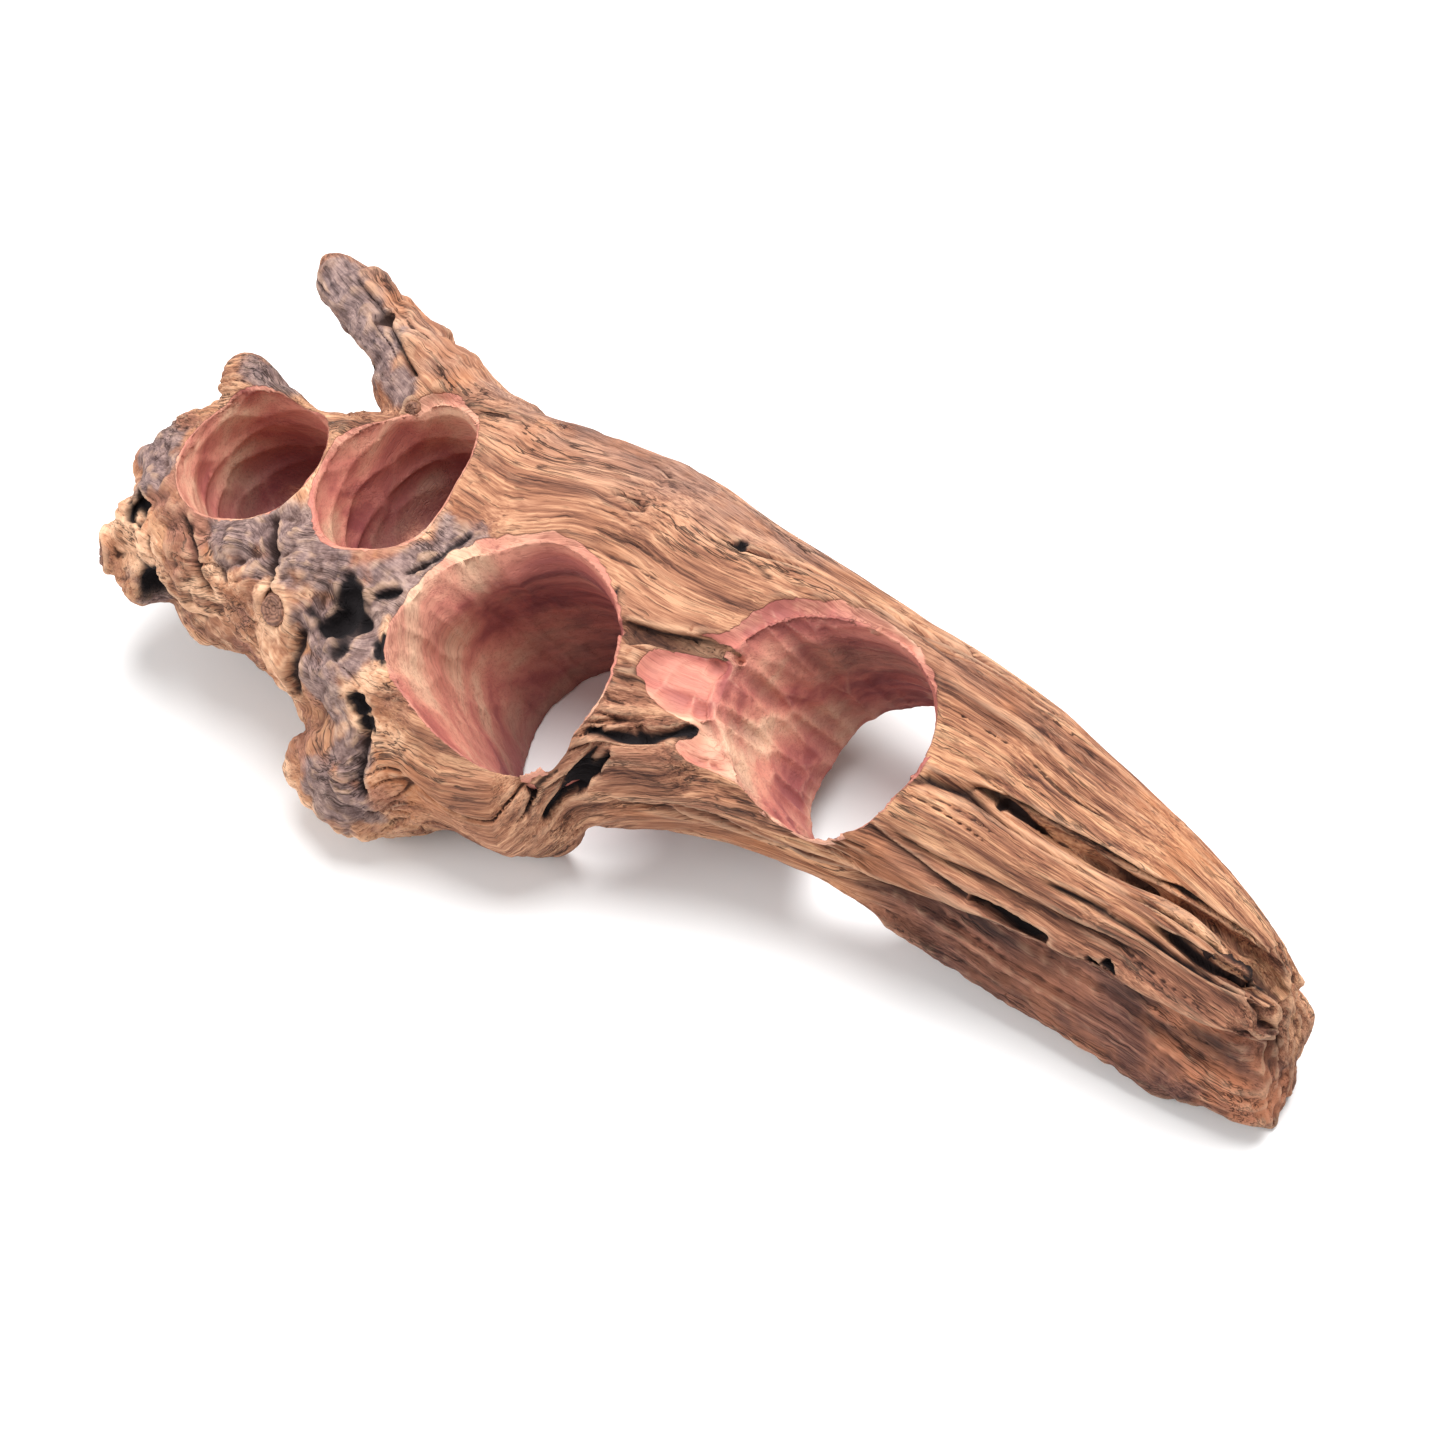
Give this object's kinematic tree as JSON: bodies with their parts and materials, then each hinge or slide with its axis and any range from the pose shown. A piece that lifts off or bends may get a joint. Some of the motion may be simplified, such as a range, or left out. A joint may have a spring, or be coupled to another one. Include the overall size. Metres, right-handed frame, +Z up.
{
  "type": "driftwood",
  "caption": "Driftwood root crown with a curved, weathered stem, a branch stub and hand-carved round hollows for pots, shells or candles",
  "frame": {"origin": "centre of the bounding box, on the plane the wood rests on", "axes": "+X along the length from the root crown to the broken end of the stem, +Y toward the back with the branch stub, +Z up out of the hollows"},
  "size_m": [0.6277, 0.2454, 0.1178],
  "materials": {
    "driftwood": "weathered, dry and unsealed, with fresh gouge cuts inside the hollows",
    "knot_wood": "hard dark end grain, worn by water"
  },
  "bodies": {
    "root": {"driftwood": "driftwood", "flank_knot": "knot_wood", "rim_knot": "knot_wood", "lobe_knot": "knot_wood"}
  },
  "joints": []
}
